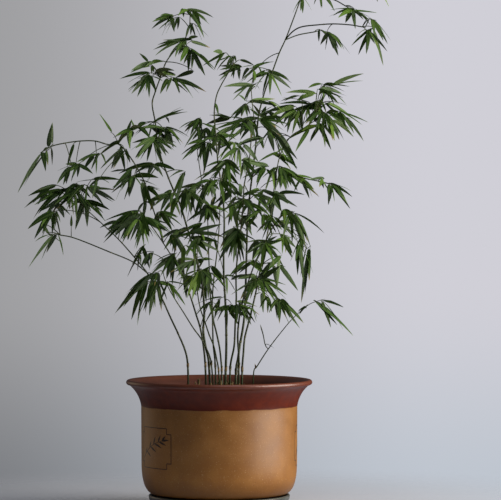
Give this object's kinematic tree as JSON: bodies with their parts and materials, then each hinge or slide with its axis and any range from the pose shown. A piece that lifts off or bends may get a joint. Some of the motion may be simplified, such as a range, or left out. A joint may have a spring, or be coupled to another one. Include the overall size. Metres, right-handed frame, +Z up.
{
  "type": "potted bamboo",
  "caption": "Clump of slender leafy bamboo culms in a two-tone glazed pot with a flared rim, standing on a round saucer.",
  "frame": {"origin": "centre of the saucer's flat underside, on the surface the plant stands on", "axes": "+Z up, +X to the right and +Y away from the viewer who sees the plant as the picture shows it"},
  "size_m": [0.5929, 0.4825, 0.8828],
  "materials": {
    "saucer_glaze": "satin",
    "pot_glaze": "satin",
    "soil": "matte",
    "bamboo": "satin"
  },
  "bodies": {
    "root": {"saucer": "saucer_glaze", "pot": "pot_glaze", "soil": "soil", "culm_far_left": "bamboo", "culm_lean_left": "bamboo", "culm_left": "bamboo", "culm_left_top": "bamboo", "culm_front": "bamboo", "culm_back_left": "bamboo", "culm_back": "bamboo", "culm_middle": "bamboo", "culm_middle_right": "bamboo", "culm_tall": "bamboo", "culm_right": "bamboo", "culm_right_tall": "bamboo", "culm_low_right": "bamboo"}
  },
  "joints": []
}
